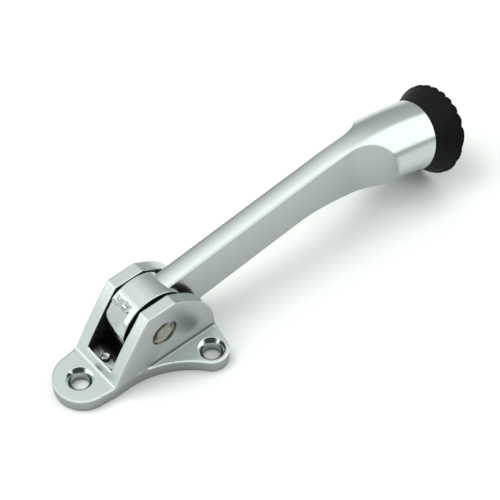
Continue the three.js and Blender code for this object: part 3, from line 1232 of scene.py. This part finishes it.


class Nodes:
    """A node tree being put together, with the small steps that the finishes and the room share."""

    def __init__(self, tree: bpy.types.NodeTree) -> None:
        """Starts with the tree of a material or a world."""
        self.tree = tree

    def node(self, kind: str, **settings: object) -> bpy.types.Node:
        """Adds a node and sets its properties."""
        node = self.tree.nodes.new(kind)
        for key, value in settings.items():
            setattr(node, key, value)
        return node

    def join(self, source: Socket, target: Socket) -> None:
        """Links two sockets."""
        self.tree.links.new(source, target)

    def coordinates(self, kind: str) -> Socket:
        """Returns texture coordinates of one kind."""
        return self.node("ShaderNodeTexCoord").outputs[kind]

    def measure(self, how: str, place_in: Socket, other: Point3) -> Socket:
        """Measures a place against a fixed vector.

        Args:
            how: the vector operation, whose result is one number.
            place_in: the place.
            other: the fixed vector.

        Returns:
            The number.
        """
        step = self.node("ShaderNodeVectorMath", operation=how)
        self.join(place_in, step.inputs[0])
        step.inputs[1].default_value = other
        return step.outputs["Value"]

    def spread(
        self, value: Socket, low: float, high: float, start: float = 0, stop: float = 1, how: str = "LINEAR"
    ) -> Socket:
        """Maps a value from start to stop on to low to high.

        Args:
            value: the value.
            low: the result at start.
            high: the result at stop.
            start: the value that gives low.
            stop: the value that gives high.
            how: the kind of step between them.

        Returns:
            The mapped value.
        """
        step = self.node("ShaderNodeMapRange", interpolation_type=how)
        for key, number in (("From Min", start), ("From Max", stop), ("To Min", low), ("To Max", high)):
            step.inputs[key].default_value = number
        self.join(value, step.inputs["Value"])
        return step.outputs["Result"]


class Recipe(Nodes):
    """A material being put together."""

    def __init__(self, name: str) -> None:
        """Starts a material with a principled shader."""
        self.material = bpy.data.materials.new(name)
        self.material.use_nodes = True
        super().__init__(self.material.node_tree)
        self.shader = self.tree.nodes["Principled BSDF"]

    def noise(self, scale: Point3, detail: float) -> Socket:
        """Adds a noise over the object's own coordinates.

        Args:
            scale: how many cells it has in a metre along X, Y and Z.
            detail: how many finer layers it has.

        Returns:
            The noise's value.
        """
        mapping = self.node("ShaderNodeMapping")
        mapping.inputs["Scale"].default_value = scale
        self.join(self.coordinates("Object"), mapping.inputs["Vector"])
        noise = self.node("ShaderNodeTexNoise")
        noise.inputs["Scale"].default_value = 1
        noise.inputs["Detail"].default_value = detail
        self.join(mapping.outputs["Vector"], noise.inputs["Vector"])
        return noise.outputs["Fac"]

    def attribute(self, name: str) -> Socket:
        """Returns the number that a piece's mesh carries under a name."""
        return self.node("ShaderNodeAttribute", attribute_name=name).outputs["Fac"]

    def sum(self, *values: Socket) -> Socket:
        """Adds values up."""
        total = values[0]
        for value in values[1:]:
            step = self.node("ShaderNodeMath", operation="ADD")
            self.join(total, step.inputs[0])
            self.join(value, step.inputs[1])
            total = step.outputs["Value"]
        return total

    def blend(self, share: Socket, first: Socket | Point3, second: Point3, how: str = "MIX") -> Socket:
        """Mixes two colours by a value.

        Args:
            share: how much of the second colour shows.
            first: the first colour, fixed or from another node.
            second: the second colour.
            how: the kind of mix.

        Returns:
            The mixed colour.
        """
        step = self.node("ShaderNodeMix", data_type="RGBA", blend_type=how)
        self.join(share, step.inputs["Factor"])
        if isinstance(first, Socket):
            self.join(first, step.inputs[6])
        else:
            step.inputs[6].default_value = (*first, 1)
        step.inputs[7].default_value = (*second, 1)
        return step.outputs[2]

    def skin(self, colour: Socket, rough: Socket, height: Socket, depth: float) -> bpy.types.Material:
        """Gives the shader its colour, its roughness and its grain.

        Args:
            colour: the base colour.
            rough: the roughness.
            height: the value that raises the surface.
            depth: how high 1 stands, in metres.

        Returns:
            The finished material.
        """
        self.join(colour, self.shader.inputs["Base Color"])
        self.join(rough, self.shader.inputs["Roughness"])
        step = self.node("ShaderNodeBump")
        step.inputs["Distance"].default_value = depth
        self.join(height, step.inputs["Height"])
        self.join(step.outputs["Normal"], self.shader.inputs["Normal"])
        return self.material


@dataclass(frozen=True)
class MetalFinish:
    """A plated or bare metal: its colours, gloss and grain, and whether painted shade darkens its recesses.
    """

    name: str
    colour: Point3
    dull_colour: Point3
    roughness: float
    rough_spread: float
    grain: Point3
    bump: float
    worn_colour: Point3
    # whether the depth mark paints shade on this metal
    painted_shade: bool = False

    def make(self) -> bpy.types.Material:
        """Returns the material."""
        recipe = Recipe(self.name)
        recipe.shader.inputs["Metallic"].default_value = 1.0
        middle = (0.3, 0.7)
        clouds = recipe.noise((90, 90, 90), 3)
        grain = recipe.noise(self.grain, 2)
        wear, dull = recipe.attribute("edge_wear"), recipe.attribute("dull")
        cloudy = recipe.spread(clouds, -0.25, 0.6, 0.3, 0.75)
        tone = recipe.sum(cloudy, recipe.spread(grain, -0.2, 0.25, *middle))
        clean = recipe.blend(tone, self.colour, self.dull_colour)
        worn = recipe.blend(recipe.spread(wear, 0, 0.75), clean, self.worn_colour)
        # the dull mark darkens the colour; on sideways faces that darkening is partly painted shade
        colour = recipe.blend(dull, worn, DULL_AND_SHADE_TINT, "MULTIPLY")
        half = self.rough_spread / 2
        rough = recipe.sum(
            recipe.spread(grain, self.roughness - half, self.roughness + half, *middle),
            recipe.spread(clouds, -half * 0.6, half * 0.6, *middle),
            recipe.spread(wear, 0, -0.25 * self.roughness),
            recipe.spread(dull, 0, 0.16),
            recipe.spread(dull, -0.13, 0, Skin.CUT.value, 0),
        )
        # painted shade from the depth mark: recesses darken towards SHADE and grow rougher
        if self.painted_shade:
            painted_shade = recipe.attribute("depth")
            colour = recipe.blend(recipe.spread(painted_shade, 0, 0.93), colour, SHADE)
            rough = recipe.sum(rough, recipe.spread(painted_shade, 0, 0.35))
        return recipe.skin(colour, rough, grain, self.bump)


@dataclass(frozen=True)
class SoftFinish:
    """Rubber or nylon: its colours, gloss and skin."""

    name: str
    colour: Point3
    dusty_colour: Point3
    roughness: float
    skin: float
    bump: float
    gloss: float = 0.3

    def make(self) -> bpy.types.Material:
        """Returns the material."""
        recipe = Recipe(self.name)
        recipe.shader.inputs["Specular IOR Level"].default_value = self.gloss
        clouds = recipe.noise((140, 140, 140), 4)
        skin = recipe.noise((self.skin,) * 3, 4)
        wear = recipe.attribute("edge_wear")
        dust = recipe.sum(recipe.spread(clouds, 0, 0.5, 0.4, 0.75), recipe.spread(wear, 0, 0.6))
        half = 0.08
        rough = recipe.spread(skin, self.roughness - half, self.roughness + half, 0.3, 0.7)
        rough = recipe.sum(rough, recipe.spread(wear, 0, -0.06))
        return recipe.skin(recipe.blend(dust, self.colour, self.dusty_colour), rough, skin, self.bump)


SATIN_CHROME = MetalFinish(
    name="satin_chrome",
    colour=(0.515, 0.56, 0.548),
    dull_colour=(0.485, 0.525, 0.515),
    roughness=0.26,
    rough_spread=0.03,
    grain=(900, 900, 500),
    bump=0.0000011,
    worn_colour=(0.66, 0.69, 0.68),
    painted_shade=True,
)
SATIN_LEVER = MetalFinish(
    name="satin_chrome_lever",
    colour=(0.515, 0.555, 0.545),
    dull_colour=(0.49, 0.53, 0.52),
    roughness=0.18,
    rough_spread=0.06,
    grain=(900, 2600, 2600),
    bump=0.000003,
    worn_colour=(0.64, 0.68, 0.67),
)
NICKEL = MetalFinish(
    name="nickel_rivet",
    colour=(0.34, 0.33, 0.275),
    dull_colour=(0.26, 0.25, 0.2),
    roughness=0.27,
    rough_spread=0.1,
    grain=(500, 500, 500),
    bump=0.000004,
    worn_colour=(0.5, 0.48, 0.42),
    painted_shade=True,
)
PEENED = MetalFinish(
    name="peened_rivet",
    colour=(0.5, 0.51, 0.5),
    dull_colour=(0.3, 0.3, 0.3),
    roughness=0.34,
    rough_spread=0.14,
    grain=(2400, 2400, 2400),
    bump=0.00001,
    worn_colour=(0.66, 0.67, 0.66),
)
SPRING_STEEL = MetalFinish(
    name="spring_steel",
    colour=(0.46, 0.48, 0.47),
    dull_colour=(0.28, 0.29, 0.28),
    roughness=0.36,
    rough_spread=0.16,
    grain=(2600, 300, 2600),
    bump=0.000008,
    worn_colour=(0.6, 0.61, 0.6),
    painted_shade=True,
)
ZINC = MetalFinish(
    name="zinc_steel",
    colour=(0.62, 0.63, 0.62),
    dull_colour=(0.5, 0.51, 0.52),
    roughness=0.33,
    rough_spread=0.12,
    grain=(2400, 2400, 2400),
    bump=0.000006,
    worn_colour=(0.72, 0.72, 0.72),
)
RUBBER = SoftFinish(
    name="black_rubber",
    colour=(0.0045, 0.0045, 0.005),
    dusty_colour=(0.009, 0.009, 0.0095),
    roughness=0.55,
    skin=2600,
    bump=0.00004,
    gloss=0.08,
)
NYLON = SoftFinish(
    name="nylon_washer",
    colour=(0.015, 0.015, 0.015),
    dusty_colour=(0.03, 0.03, 0.03),
    roughness=0.5,
    skin=3000,
    bump=0.00001,
)


# ---- studio ---------------------------------------------------------------------------------------------


def towards(azimuth: float, elevation: float) -> Vector:
    """Finds a direction.

    Args:
        azimuth: its angle from +X, in degrees.
        elevation: its angle above the floor, in degrees.

    Returns:
        The direction, one long.
    """
    a, e = math.radians(azimuth), math.radians(elevation)
    return Vector((math.cos(a) * math.cos(e), math.sin(a) * math.cos(e), math.sin(e)))


@dataclass(frozen=True)
class Panel:
    """A soft patch of the room's light: where it stands, how wide it is and how bright it is."""

    azimuth: float
    elevation: float
    inner: float
    outer: float
    level: float


@dataclass
class Studio:
    """The pale floor, the soft light and the camera."""

    azimuth: float = -39.66
    elevation: float = 51.66
    roll: float = 0.37
    distance: float = 0.621
    aim: Point2 = (0.0340, 0.0302)
    lens: float = 137.0
    sky: tuple[tuple[float, float], ...] = (
        (0.0, 0.56),
        (0.17, 0.58),
        (0.42, 0.70),
        (0.57, 0.83),
        (0.71, 1.04),
        (0.82, 1.22),
        (0.91, 1.42),
        (1.0, 1.62),
    )
    sky_tint: Point3 = (0.965, 1.0, 0.99)
    paper: tuple[Point3, Point3] = ((0.79, 0.805, 0.78), (0.80, 0.815, 0.79))
    # painted falloff of light: the floor darkens towards this colour away from this middle, between these
    # two reaches
    painted_falloff_colour: Point3 = (0.55, 0.55, 0.53)
    painted_falloff_middle: Point3 = (0.055, 0, 0)
    painted_falloff_reach: tuple[float, float] = (0.13, 0.36)
    lamp_stand: Point3 = (-0.3, 0.42, 1.05)
    lamp_size: float = 0.6
    lamp_power: float = 5.4
    panels: tuple[Panel, ...] = (
        Panel(-31, 35, 30, 38, 1.95),
        Panel(-30, 74, 14, 26, 1.75),
        Panel(150, 22, 26, 42, 1.9),
        Panel(-118, 22, 30, 56, 0.08),
    )

    def camera(self) -> None:
        """Sets the camera."""
        a, e, r = (math.radians(v) for v in (self.azimuth, self.elevation, self.roll))
        right = Vector((math.cos(a), math.sin(a), 0))
        back = Vector((math.sin(a) * math.cos(e), -math.cos(a) * math.cos(e), math.sin(e)))
        up = back.cross(right)
        stand = right * self.aim[0] + up * self.aim[1] + back * self.distance
        axis_x = right * math.cos(r) - up * math.sin(r)
        axis_y = right * math.sin(r) + up * math.cos(r)
        data = bpy.data.cameras.new("camera")
        data.lens = self.lens
        data.sensor_width = 36
        data.clip_start, data.clip_end = 0.01, 20
        camera = bpy.data.objects.new("camera", data)
        facing = Matrix((axis_x, axis_y, back)).transposed().to_4x4()
        camera.matrix_world = Matrix.Translation(stand) @ facing
        bpy.context.scene.collection.objects.link(camera)
        bpy.context.scene.camera = camera

    def floor(self) -> None:
        """Lays the floor, with a painted falloff of light: a little darker away from the middle."""
        clear_bench()
        size, drop = 6, 0.00015
        bpy.ops.mesh.primitive_plane_add(size=size, location=(0, 0, -drop))
        floor = bpy.context.object
        floor.name = "studio_floor"
        recipe = Recipe("studio_floor")
        # painted falloff of light away from the middle
        reach = recipe.measure("DISTANCE", recipe.coordinates("Object"), self.painted_falloff_middle)
        away = recipe.spread(reach, 0, 1, *self.painted_falloff_reach)
        paper = recipe.blend(recipe.noise((30, 30, 30), 3), *self.paper)
        colour = recipe.blend(away, paper, self.painted_falloff_colour, "MULTIPLY")
        recipe.join(colour, recipe.shader.inputs["Base Color"])
        recipe.shader.inputs["Roughness"].default_value = 0.7
        recipe.shader.inputs["Specular IOR Level"].default_value = 0.2
        floor.data.materials.append(recipe.material)

    def lamp(self) -> None:
        """Hangs one soft light over the floor that the polished metal doesn't mirror."""
        data = bpy.data.lights.new("overhead", "AREA")
        data.shape = "SQUARE"
        data.size = self.lamp_size
        data.energy = self.lamp_power
        lamp = bpy.data.objects.new("overhead", data)
        stand = Vector(self.lamp_stand)
        lamp.location = stand
        lamp.rotation_euler = stand.to_track_quat("Z", "Y").to_euler()
        lamp.visible_glossy = False
        bpy.context.scene.collection.objects.link(lamp)

    def room(self) -> None:
        """Fills the room with soft light: a sky that brightens overhead, and the panels in it."""
        world = bpy.data.worlds.new("room")
        world.use_nodes = True
        nodes = Nodes(world.node_tree)
        around = nodes.coordinates("Generated")
        split = nodes.node("ShaderNodeSeparateXYZ")
        nodes.join(around, split.inputs["Vector"])
        ramp = nodes.node("ShaderNodeValToRGB")
        ramp.color_ramp.interpolation = "EASE"
        nodes.join(split.outputs["Z"], ramp.inputs["Fac"])
        stops = ramp.color_ramp.elements
        stops[0].position, stops[1].position = self.sky[0][0], self.sky[-1][0]
        for where, _ in self.sky[1:-1]:
            stops.new(where)
        brightest = 2.0
        for stop, (_, level) in zip(stops, self.sky):
            stop.color = (*(level / brightest,) * 3, 1)
        gain = nodes.node("ShaderNodeMath", operation="MULTIPLY")
        gain.inputs[1].default_value = brightest
        nodes.join(ramp.outputs["Color"], gain.inputs[0])
        light = gain.outputs["Value"]
        for panel in self.panels:
            dot = nodes.measure("DOT_PRODUCT", around, towards(panel.azimuth, panel.elevation))
            edges = [math.cos(math.radians(angle)) for angle in (panel.outer, panel.inner)]
            mix = nodes.node("ShaderNodeMix")
            nodes.join(nodes.spread(dot, 0, 1, *edges, "SMOOTHSTEP"), mix.inputs["Factor"])
            nodes.join(light, mix.inputs[2])
            mix.inputs[3].default_value = panel.level
            light = mix.outputs[0]
        background = nodes.tree.nodes["Background"]
        background.inputs["Color"].default_value = (*self.sky_tint, 1)
        nodes.join(light, background.inputs["Strength"])
        bpy.context.scene.world = world

    def build(self) -> None:
        """Sets up the whole studio."""
        bpy.context.scene.view_settings.view_transform = "Standard"
        self.camera()
        self.floor()
        self.room()
        self.lamp()


# ---- making ---------------------------------------------------------------------------------------------


def main() -> None:
    """Builds the studio and every piece, in order."""
    logging.basicConfig(level=logging.INFO, format="%(name)s: %(message)s")
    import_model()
    Studio().build()
    bracket, lever = Bracket(), Lever()
    bracket.dress(bracket.build(), SATIN_CHROME.make())
    lever.dress(lever.build(), SATIN_LEVER.make())
    Pivot().build(NICKEL.make(), NYLON.make())
    LeafSpring().build(SPRING_STEEL.make(), PEENED.make())
    Foot().build(RUBBER.make(), ZINC.make())


if __name__ == "__main__":
    main()
